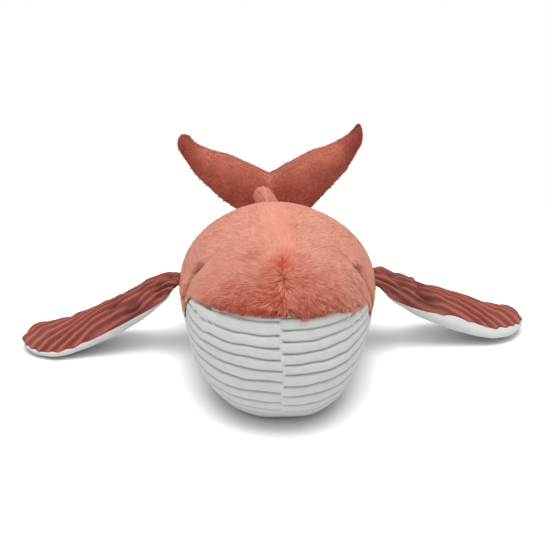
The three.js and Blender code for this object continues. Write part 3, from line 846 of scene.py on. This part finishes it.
def limb_sheet(middle, half, rows, columns, face, place, climb=None):
    """A cloth's points in the frame, with its own coordinates: s along the limb, c across it.
    climb is the angle by which the front seam lies up on the top side."""
    s = (1 - (1 - np.linspace(0, 1, rows + 1)) ** 1.25)[:, None] * np.ones((1, columns + 1))
    start = -np.pi / 2 + face * (climb(s) if climb else 0.0)
    angle = start + (np.pi / 2 - start) * np.linspace(0, 1, columns + 1)[None, :]
    c = np.sin(angle)
    face = face * np.where(angle < -np.pi / 2, -1, 1)
    flat = middle(s, c)
    e = 1e-4
    along = middle(s + e, c) - middle(s - e, c)
    across = middle(s, np.clip(c + e, -1, 1)) - middle(s, np.clip(c - e, -1, 1))
    up = np.cross(along, across)
    up /= np.maximum(np.linalg.norm(up, axis=2, keepdims=True), 1e-12)
    return place(flat + up * (face * half(s, c, face))[..., None]), s, c


def hung(hinge, side, about_x=0.0, about_y=0.0):
    """Local points, mirrored for the right side, turned and put on the hinge."""
    cx, sx, cy, sy = math.cos(about_x), math.sin(about_x), math.cos(about_y), math.sin(about_y)
    turn_x = np.array([[1, 0, 0], [0, cx, -sx], [0, sx, cx]])
    turn_y = np.array([[cy, 0, sy], [0, 1, 0], [-sy, 0, cy]])
    turn = turn_x @ turn_y
    return lambda points: (points * [side, 1, 1]) @ turn.T + hinge


# %% [markdown]
# ## The side fins
# The tops are brick-red cord with slimmer ribs, which run out along the fin and curve to its
# front edge near the tip. The fin is gathered where it is sewn to the body, and it has
# creases where the stuffing has moved. The undersides are smooth white plush.

# %% The fins' table
FIN_SPAN, FIN_CHORD, FIN_HALF, FIN_RISE, FIN_TWIST = 138.0, 52.0, 9.5, 9.0, -12.0
# How far the root reaches in past its hinge.
FIN_ROOT = 5.0
# The columns: place along the fin, its front and back edge, half its thickness, its rise and
# its twist.
FIN = np.array([
    [0, -0.33, 0.33, 0.4, 0, 0],
    [0.04, -0.35, 0.36, 0.55, 0, 0],
    [0.15, -0.42, 0.4, 1.15, -0.38, 0.25],
    [0.35, -0.44, 0.51, 1.18, -0.5, 0.45],
    [0.6, -0.52, 0.53, 1.12, -0.14, 0.65],
    [0.8, -0.59, 0.45, 0.87, 0.38, 0.68],
    [0.93, -0.47, 0.41, 0.75, 0.92, 0.65],
    [1, -0.36, 0.34, 0.6, 1.2, 0.61],
])
FIN_HINGE = {
    "left": np.array([81.293, -33.3, 58.425]),
    "right": np.array([-82.307, -33.3, 58.425]),
}
# How many degrees each fin sweeps back and slopes down, and how far its tip curls up, in mm.
FIN_SWEEP = {"left": 10.5, "right": -4.3}
FIN_SLOPE = {"left": 27.0, "right": 29.6}
FIN_CURL = {"left": 4.0, "right": 9.0}
# How far the front and the back edge move at the gathered root, as shares of the chord.
FIN_GATHER = {"left": (-0.08, -0.06), "right": (0.0, -0.42)}


def fin_middle(name):
    """The middle sheet of a fin: s goes along it from 0 to 1, and c across it from -1 to 1."""

    def middle(s, c):
        front, back = [(follow(FIN, column, s) + moved * bump(s, 0, 0.07)) * FIN_CHORD
                       for column, moved in enumerate(FIN_GATHER[name], 1)]
        chord = (front + back) / 2 + c * rounded(s, 0.88) * (back - front) / 2
        twist = follow(FIN, 5, s) * math.radians(FIN_TWIST)
        rise = follow(FIN, 4, s) * FIN_RISE + FIN_CURL[name] * np.maximum((s - 0.6) / 0.4, 0) ** 2
        out = s * (FIN_SPAN + FIN_ROOT) - FIN_ROOT
        swept = np.maximum(out, 0) * math.tan(math.radians(FIN_SWEEP[name]))
        return np.stack([out, swept + chord * np.cos(twist), rise - chord * np.sin(twist)], -1)
    return middle


def fin_half(s, c, face):
    """Half the thickness. The underside is drawn flat towards the body."""
    slack = 1 - 0.5 * (face < 0) * bump(s, 0.1, 0.18)
    half = slack * follow(FIN, 3, s) * FIN_HALF * rounded(s, 0.84)
    return half * np.maximum(1 - c * c, 0) ** 0.55


# %% Creases and ribs of the fins
BEND_START, BEND_RADIUS, FIN_PITCH, RIB_CREST = 0.38, 80.0, 8.2, 0.3
# Each crease: place along and across the fin, its reach along and across, and its depth in mm.
CREASES = {
    "right": [
        (0.385, 0.9, 0.035, 0.35, 3.8), (0.445, -0.2, 0.04, 0.2, 3.6),
        (0.32, -0.75, 0.045, 0.25, 4.2), (0.235, -0.05, 0.035, 0.2, 2.8),
        (0.13, -0.5, 0.04, 0.3, 3.2), (0.05, 0.1, 0.03, 0.5, 2.4),
    ],
    "left": [
        (0.262, 0.05, 0.018, 0.7, -1.6), (0.305, 0.4, 0.03, 0.3, 3.4),
        (0.3, -0.1, 0.025, 0.25, 3.0), (0.36, -0.5, 0.07, 0.22, 3.8),
        (0.1, 0.25, 0.03, 0.3, 3.0), (0.16, -0.4, 0.04, 0.3, 2.4),
    ],
}
# The band of painted shade across each fin: how dark, its place along the fin and its reach.
FIN_SHADE = {"left": (0.55, 0.3, 0.13), "right": (0.4, 0.38, 0.19)}
# How far the white cloth comes up over the front edge of each fin, as an angle round the rim.
FIN_CLIMB = {"left": 0.62, "right": 0.2}


def fin_climb(name):
    def climb(s):
        scallops = 0.06 * np.sin(np.pi * s * FIN_SPAN / (1.5 * FIN_PITCH)) ** 2 * ease(s, 0.5, 0.75)
        return FIN_CLIMB[name] * ease(s, 0.2, 0.6) + scallops - 0.6 * bump(s, 0, 0.14)
    return climb


def across_mm(sheet, c):
    """How far each point lies from the middle of the chord, measured over the cloth."""
    steps = np.linalg.norm(np.diff(sheet, axis=1), axis=2)
    walked = np.concatenate([np.zeros((len(sheet), 1)), np.cumsum(steps, axis=1)], axis=1)
    return walked - np.array([[np.interp(0, row, way)] for row, way in zip(c, walked)])


def fin_relief(name, sheet, s, c):
    """Height over the smooth cloth in mm, the rib's share of it, and the share of painted shade
    there.
    """
    chord = (follow(FIN, 2, s) + follow(FIN, 1, s)) * FIN_CHORD / 2 + across_mm(sheet, c)
    root = bump(s, 0, 0.16)
    # The ribs run straight out, then bend to the front round a centre in front of the fin.
    out = np.maximum(s - BEND_START, 0) * FIN_SPAN
    across = np.hypot(chord * (1 + 0.3 * root) + BEND_RADIUS, out) - BEND_RADIUS
    phase = (across / FIN_PITCH + 0.12 * np.sin(11 * s + 3 * c) + 0.1 * wander(sheet, 18)) % 1
    # The crest lies near the front of each rib, so a thin dark line shows under it.
    past = (phase - RIB_CREST) / (1 - RIB_CREST)
    phase = np.where(phase < RIB_CREST, phase / RIB_CREST, 1 + past) / 2
    rib = (0.5 - 0.5 * np.cos(2 * np.pi * phase)) ** 1.2
    dents = sum(d * bump(s, a, w) * bump(c, b, h) for a, b, w, h, d in CREASES[name])
    gathers = 1.3 * np.sin(0.75 * chord + 3 * np.sin(16 * s)) * root
    rim = np.clip((1 - np.abs(c)) / 0.12, 0, 1) ** 0.5
    strength = (2.1 + 0.8 * wander(sheet, 26)) * (0.35 + 0.65 * rim)
    height = strength * (rib - 0.45) + (gathers - dents + 0.9 * wander(sheet, 11)) * rim
    # Painted shade: darker in the creases, in the hollows of the gathers, near the root and in a
    # band across the fin.
    dark, at, reach = FIN_SHADE[name]
    shade = 0.25 * bump(s, 0, 0.12) + dark * bump(s, at, reach)
    return height, rib, np.clip(dents / 3 - 0.4 * gathers + shade, 0, 1)


def sew_fin(name):
    side = SIDES[name]
    place = hung(FIN_HINGE[name], side, about_y=side * math.radians(FIN_SLOPE[name]))
    middle = fin_middle(name)
    top, s, c = limb_sheet(middle, fin_half, 240, 104, 1, place, fin_climb(name))
    relief, rib, crease_shade = fin_relief(name, top, s, c)
    tuck = 0.9 * bump(np.linalg.norm(top - top[:, :1], axis=2), 0, 1.2)
    outward = normals_of(top) * side
    raised = top + outward * (relief - tuck)[..., None]
    upper = panel(f"fin_cord_{name}", raised, {"rib": rib, "crease_shade": crease_shade})
    below, s, c = limb_sheet(middle, fin_half, 120, 64, -1, place, fin_climb(name))
    gather = 0.8 * np.sin(c * 14) * bump(s, 0, 0.12) * (1 - c * c) + 0.5 * wander(below, 14)
    gather = gather - 1.3 * bump(c + 0.25 * s, -0.66, 0.07) * bump(s, 0.3, 0.22)
    lower = panel(f"fin_plush_{name}", below - normals_of(below) * (side * gather)[..., None])
    return upper, lower


# %% The fins' finishes
fin_cord = Finish("fin cord", Roughness=0.85, Sheen_Weight=0.15, Sheen_Roughness=0.45, IOR=1.35)
nap = fin_cord.speckle(0.8, 3.0, 0.6)
ribs = fin_cord.attribute("rib")
# Painted shade and highlight: the valleys between ribs are coloured darker, the crests lighter, and
# a painted highlight line runs along each crest.
valley = fin_cord.blend(fin_cord.speckle(9), colour(112, 42, 36), colour(134, 56, 48))
crest = fin_cord.blend(fin_cord.speckle(7), colour(152, 72, 62), colour(172, 90, 78))
brick = fin_cord.blend(ribs * 1.3, valley, crest)
brick = fin_cord.blend(ribs ** 9 * 0.6, brick, colour(206, 128, 114))
# Painted shade from the fin's creases, gathers, root and band.
brick = fin_cord.blend(fin_cord.attribute("crease_shade") * 0.8, brick, colour(88, 28, 24))
fin_cord.set(Base_Color=fin_cord.blend((nap - 0.3) * 0.8, brick, colour(188, 106, 92)))
fin_cord.relief(nap, 0.7)

white_plush = Finish("white plush", IOR=1.35, **VELVET)
nap = white_plush.speckle(0.8, 3.0)
white_plush.set(Base_Color=white_plush.blend(nap, colour(206, 208, 206), colour(232, 234, 232)))
white_plush.relief(nap, 0.4)

for name in SIDES:
    upper, lower = sew_fin(name)
    dress(upper, f"fin_{name}", fin_cord, "fin_cord", f"fin_{name}_top", f"fin_{name}_stuffing")
    dress(lower, f"fin_{name}", white_plush, "white_plush", f"fin_{name}_underside")

# %% [markdown]
# ## The tail
# Two stuffed lobes of short dense plush stand up from the end of the body and share a seam in
# the middle. The plush is too short to lie in locks, so its wisps are small and lie close to
# the cloth. A few of the top's lie any other way, and soften the outline.

# %% The lobes
FLUKE_SPAN, FLUKE_REACH, FLUKE_HALF = 99.0, 92.0, 11.0
# The columns: place along the lobe, how far out that is, the front and back edge there, and
# half the thickness.
FLUKE = np.array([
    [0, 0, 0, 0.485, 0.6],
    [0.2, 0.225, 0.02, 0.635, 0.85],
    [0.4, 0.42, 0.13, 0.75, 1],
    [0.6, 0.6, 0.305, 0.81, 1],
    [0.8, 0.765, 0.5, 0.9, 0.85],
    [0.92, 0.885, 0.72, 1.0, 0.7],
    [1, 0.94, 0.78, 1.02, 0.5],
])
FLUKE_HINGE = np.array([-8.0, 133.3, 59.04])
# By how many degrees each lobe bows, and how long its tip is beside the table's.
LOBE = {"left": (0, 1.06), "right": (10, 0.88)}
# How much fuller each lobe is at the front near its root, and at the back near its tip with
# its place there and its reach, in mm and shares of the lobe.
LOBE_FRONT = {"left": 6.0, "right": 1.0}
LOBE_KNOB = {"left": (2.5, 0.93, 0.06), "right": (4.0, 0.865, 0.05)}
LOBE_SPAN = {"left": 1.0, "right": 0.96}
LOBE_WISPS = 15000


def lobe_middle(name):
    lift, tip = LOBE[name]

    def middle(s, c):
        out = follow(FLUKE, 1, s)
        front, back = [follow(FLUKE, k, s) * FLUKE_REACH for k in (2, 3)]
        knob, place, width = LOBE_KNOB[name]
        front = front - LOBE_FRONT[name] * bump(s, 0.28, 0.22)
        back = back + knob * bump(s, place, width)
        centre, spread = (front + back) / 2, (back - front) / 2 * rounded(s, 0.92)
        reach = (centre + c * spread) * (1 + (tip - 1) * s)
        bow = FLUKE_SPAN * math.sin(math.radians(lift)) * np.maximum(out - 0.25, 0) ** 1.5
        return np.stack([out * FLUKE_SPAN * LOBE_SPAN[name], reach, bow], -1)
    return middle


def lobe_half(s, c, face):
    """Half the thickness, which is fuller in the middle near the root."""
    power = 1.1 * (1 - s) + 0.55 * s
    return follow(FLUKE, 4, s) * FLUKE_HALF * rounded(s, 0.75) * np.maximum(1 - c * c, 0) ** power


# %% Sew the lobes and give them their pile
fluke_plush = fur_finish("fluke plush", (colour(122, 44, 34), colour(190, 104, 86)),
                         (colour(148, 58, 44), colour(228, 138, 116)))
fluke_cloth = Finish("fluke cloth", Roughness=0.95)
mottled = fluke_cloth.blend(fluke_cloth.speckle(4), colour(132, 54, 44), colour(160, 76, 64))
fluke_cloth.set(Base_Color=mottled)


def sew_lobe(name, face, label):
    side = SIDES[name]
    place = hung(FLUKE_HINGE, side, about_x=math.radians(45))
    sheet, s, c = limb_sheet(lobe_middle(name), lobe_half, 90, 48, face, place)
    outward = normals_of(sheet) * side * face
    cloth = panel(f"fluke_cloth_{name}_{label}", sheet - outward * 0.6)
    # The rim is covered by the pile of the top, so the underside's keeps clear of it.
    covered = (np.abs(c) < 0.9) & (s < 0.93) | (label == "top")
    root, normal = scatter(sheet, outward, 1.0 * covered, LOBE_WISPS)
    out = np.abs(root[:, 0] - FLUKE_HINGE[0])
    field = np.array([0, 0.5, 0.6]) + np.outer(0.4 * side * np.tanh((out - 5) / 5), [1, 0, 0])
    # A few wisps of the top lie any way, which makes the outline soft all round.
    stray = (rng.random(len(root)) < 0.2) * (label == "top")
    angle = 0.9 * wander(root, 14) + rng.normal(0, 0.3, len(root))
    angle = angle + stray * rng.uniform(-3, 3, len(root))
    direction = combed(field, normal, angle)
    length = rng.uniform(2.2, 3.4, len(root))
    shift, _ = lean_together(root, direction, length, 2.0, 0.2)
    # Painted light and shade: the pile is coloured lighter towards the upper back edge, on the
    # underside and where it faces down, and darker low down; it is also lighter along the middle
    # seam and darker towards the tips.
    edge = ease(root[:, 2] - 0.27 * out, 74, 100) * (1 - ease(out, 60, 78))
    lower = 0.8 if label == "underside" else 0.24
    tint = np.maximum(0.5 * edge, 0.2 * (1 - ease(normal[:, 2], -0.3, 0.3))) + lower
    tint = tint + 0.2 * bump(out, 0, 4) + 0.08 * wander(root, 14) + 0.06 * wander(root, 3)
    tint = tint - 0.12 * ease(out, 70, 88) - 0.1 * (1 - ease(root[:, 2], 70, 90))
    tint = tint + rng.normal(0, 0.04, len(root))
    width = rng.uniform(0.6, 0.9, len(root))
    lift = rng.uniform(0.03, 0.12, len(root)) + 0.2 * stray
    pile = grow(f"fluke_pile_{name}_{label}", root - 0.5 * normal, normal, direction, length,
                width, lift, shift, tint, light_tilt=0.15, turned=0.05)
    return cloth, pile


for name in SIDES:
    for face, label in ((1, "top"), (-1, "underside")):
        cloth, pile = sew_lobe(name, face, label)
        dress(cloth, "fluke", fluke_cloth, "fluke_plush", f"fluke_{name}_{label}")
        dress(pile, "fluke", fluke_plush, "fluke_plush")
    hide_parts(f"fluke_{name}_stuffing")

# %% [markdown]
# ## The back fin
# A small fin of the same long fur, which leans to the whale's right.

# %% The back fin
DORSAL_LENGTH, DORSAL_HEIGHT, DORSAL_HALF, DORSAL_ROOT = 40.0, 17.0, 7.5, 4.6
DORSAL_WISPS = 2600
# The columns: place up the fin, its front and back edge, and half its thickness.
DORSAL = np.array([
    [0, -0.5, 0.5, 1.1],
    [0.3, -0.38, 0.49, 1.0],
    [0.6, -0.2, 0.46, 0.85],
    [0.85, 0.0, 0.42, 0.7],
    [1, 0.1, 0.38, 0.6],
])
DORSAL_HINGE = np.array([-9.088, 52.175, 94.368])
dorsal_place = hung(DORSAL_HINGE, 1, about_x=-0.4601, about_y=-0.384)


def dorsal_middle(s, c):
    tip = rounded(s, 0.7)
    front, back = [follow(DORSAL, k, s) * DORSAL_LENGTH for k in (1, 2)]
    chord = (front + back) / 2 + c * (back - front) / 2 * tip
    return np.stack([np.zeros_like(s), chord, s * (DORSAL_HEIGHT + DORSAL_ROOT) - DORSAL_ROOT], -1)


def dorsal_half(s, c, face):
    return follow(DORSAL, 3, s) * DORSAL_HALF * rounded(s, 0.7) * np.maximum(1 - c * c, 0) ** 0.6


for name, face in (("left", -1), ("right", 1)):
    sheet, s, c = limb_sheet(dorsal_middle, dorsal_half, 30, 24, face, dorsal_place)
    outward = normals_of(sheet) * face
    cloth = panel(f"back_fin_cloth_{name}", sheet - outward * 0.8)
    dress(cloth, "dorsal_fin", fur_backing, "coral_fur", f"dorsal_fin_{name}")
    root, normal = scatter(sheet, outward, np.ones(sheet.shape[:2]), DORSAL_WISPS)
    field = np.array([0, 0.4, -1.0]) + np.zeros(root.shape)
    direction = combed(field, normal, 0.5 * wander(root, 8))
    length = rng.uniform(5, 8, len(root))
    shift, lock = lean_together(root, direction, length, 3, 0.3)
    # Painted light: wisps on the sides that face the tail are coloured lighter.
    tint = 0.58 + 0.25 * np.clip(normal[:, 1], 0, 1) + 0.1 * wander(root[lock], 3)
    tint = tint + rng.normal(0, 0.06, len(root))
    width, lift = rng.uniform(0.5, 0.8, len(root)), rng.uniform(0.12, 0.34, len(root))
    pile = grow(f"back_fin_fur_{name}", root - normal, normal, direction, length, width, lift,
                shift, tint)
    dress(pile, "dorsal_fin", coral_fur, "coral_fur")

# %% [markdown]
# ## The eyes
# Each eye is a small glossy dome of black plastic, pushed through the cloth at the bottom of
# the crease in the cheek. The dome is a ball that is pressed flatter, most of all inside. A
# washer with a hub holds its shank behind the cloth.

# %% Shape the eyes
# How much of a ball's depth the eye keeps on its outer and on its inner side.
DOME, INSIDE = 0.72, 0.3
EYE_RADIUS = 4.6 * MM
eye_gloss = Finish("eye gloss", Base_Color=colour(14, 12, 12), Roughness=0.08, Coat_Weight=0.6,
                   Coat_Roughness=0.03)
washer_plastic = Finish("washer plastic", Base_Color=colour(232, 230, 223), Roughness=0.5)


def shape_eye(name):
    lo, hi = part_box(f"eye_{name}")
    middle = (Vector(lo) + Vector(hi)) / 2
    side = SIDES[name]
    front = max(abs(lo[0]), abs(hi[0])) * side
    bpy.ops.mesh.primitive_uv_sphere_add(segments=40, ring_count=24, radius=EYE_RADIUS)
    eye = bpy.context.object
    eye.name = eye.data.name = f"eye_dome_{name}"
    for vertex in eye.data.vertices:
        x, y, z = vertex.co
        depth = (DOME if x * side > 0 else INSIDE) * x
        vertex.co = (front - side * DOME * EYE_RADIUS + depth, middle.y + y, middle.z + z)
    object_mode(eye)
    bpy.ops.object.shade_smooth()
    return eye


# %% Shape the washers
# A disc, a hub on its inner side with a blind bore, and how far all of it lies inside the cover.
DISC_RADIUS, DISC_THICK, WASHER_DEPTH = 5.6 * MM, 1.2 * MM, 2.6 * MM
HUB_INSET, HUB_RISE, HUB_WALL, BORE_DEPTH = 3.2 * MM, 1.4 * MM, 0.8 * MM, 1.0 * MM


def shape_washer(name):
    lo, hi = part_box(f"eye_washer_{name}")
    middle = (Vector(lo) + Vector(hi)) / 2
    bpy.ops.mesh.primitive_cylinder_add(vertices=48, radius=DISC_RADIUS, depth=DISC_THICK)
    washer = bpy.context.object
    washer.name = washer.data.name = f"eye_press_washer_{name}"
    object_mode(washer)
    bpy.ops.object.mode_set(mode="EDIT")
    bpy.ops.mesh.select_mode(type="FACE")
    bpy.ops.mesh.select_all(action="DESELECT")
    bpy.ops.object.mode_set(mode="OBJECT")
    for face in washer.data.polygons:
        face.select = face.normal.z > 0.9
    bpy.ops.object.mode_set(mode="EDIT")
    bpy.ops.mesh.inset(thickness=HUB_INSET, depth=0)
    bpy.ops.mesh.extrude_region_move(TRANSFORM_OT_translate={"value": (0, 0, HUB_RISE)})
    bpy.ops.mesh.inset(thickness=HUB_WALL, depth=0)
    bpy.ops.mesh.extrude_region_move(TRANSFORM_OT_translate={"value": (0, 0, -BORE_DEPTH)})
    bpy.ops.object.mode_set(mode="OBJECT")
    side = SIDES[name]
    for vertex in washer.data.vertices:
        x, y, z = vertex.co
        vertex.co = (middle.x - side * (WASHER_DEPTH + z), middle.y + y, middle.z + x * side)
    bpy.ops.object.shade_smooth_by_angle(angle=math.radians(40))
    return washer


for name in SIDES:
    dress(shape_eye(name), "body", eye_gloss, "eye_plastic", f"eye_{name}")
    dress(shape_washer(name), "body", washer_plastic, "washer_plastic", f"eye_washer_{name}")

# %% [markdown]
# ## Floor and light
# A white sweep of paper and large soft lamps, as in a product photograph. The floor is pale
# and catches the soft shadow of the belly and the fins, and painted shade darkens it close under
# them.

# %% The floor
floor_paper = Finish("floor paper", Base_Color=(0.85, 0.85, 0.85, 1), Roughness=0.9)
place = {0: floor_paper.place()}
distance = floor_paper.node("VectorMath", {"operation": "LENGTH"}, place, "Value")
seen = floor_paper.node("LightPath", {}, {}, "Is Camera Ray")
glossy = floor_paper.node("LightPath", {}, {}, "Is Glossy Ray")
smooth = {"interpolation_type": "SMOOTHSTEP"}
fade = floor_paper.node("MapRange", smooth, {0: distance, 1: 0.22, 2: 0.5})
white = floor_paper.node("Emission", {}, {"Color": (1, 1, 1, 1), "Strength": 1.0})
# Painted shade: the paper is coloured darker for the camera where the whale lies close above it, by
# ambient occlusion.
painted_contact_shade = floor_paper.node("AmbientOcclusion", {"samples": 8}, {"Distance": 0.045}, "AO")
overexposed_and_painted_shade = floor_paper.blend(painted_contact_shade, (0.64, 0.64, 0.64, 1), (1.62, 1.62, 1.62, 1))
bright = floor_paper.node("BsdfDiffuse", {}, {"Color": overexposed_and_painted_shade})
paper = floor_paper.node("MixShader", {}, {0: seen, 2: bright})
links, output = floor_paper.tree.links, floor_paper.tree.nodes["Material Output"]
links.new(floor_paper.shader.outputs[0], paper.socket.node.inputs[1])
mixed = floor_paper.node("MixShader", {}, {0: fade * (seen + glossy), 1: paper, 2: white})
links.new(mixed.socket, output.inputs["Surface"])
bpy.ops.mesh.primitive_plane_add(size=30)
floor = bpy.context.object
floor.name = "floor"
floor.data.materials.append(floor_paper.material)
print("floor:", round(floor.dimensions.x), "m of", floor_paper.material.name)

# %% The lamps
def lamp(name, place, target, size, watts):
    data = bpy.data.lights.new(name, "AREA")
    data.shape, data.size, data.size_y, data.energy = "RECTANGLE", size[0], size[1], watts
    made = bpy.data.objects.new(name, data)
    bpy.context.scene.collection.objects.link(made)
    made.location = place
    made.rotation_euler = (Vector(target) - Vector(place)).to_track_quat("-Z", "Y").to_euler()
    print(name, watts, "W")


lamp("overhead softbox", (0, -0.18, 1.5), (0, 0, 0), (1.5, 1.1), 16)
lamp("front softbox", (-0.3, -1.5, 1.0), (0, 0, 0.05), (1.4, 1.0), 2)

# %% The surroundings
world = bpy.data.worlds.new("studio")
bpy.context.scene.world = world
world.use_nodes = True
nodes, links = world.node_tree.nodes, world.node_tree.links
surround = nodes["Background"]
surround.inputs["Color"].default_value = (1, 1, 1, 1)
surround.inputs["Strength"].default_value = 0.54
# The camera and mirror-like surfaces see plain white paper all round.
kinds = ("Background", "LightPath", "Math", "MixShader")
backdrop, rays, either, mix = [nodes.new("ShaderNode" + kind) for kind in kinds]
backdrop.inputs["Color"].default_value = (1, 1, 1, 1)
either.operation = "MAXIMUM"
links.new(rays.outputs["Is Camera Ray"], either.inputs[0])
links.new(rays.outputs["Is Glossy Ray"], either.inputs[1])
links.new(either.outputs[0], mix.inputs[0])
links.new(surround.outputs[0], mix.inputs[1])
links.new(backdrop.outputs[0], mix.inputs[2])
links.new(mix.outputs[0], nodes["World Output"].inputs["Surface"])
bpy.context.scene.view_settings.view_transform = "Standard"
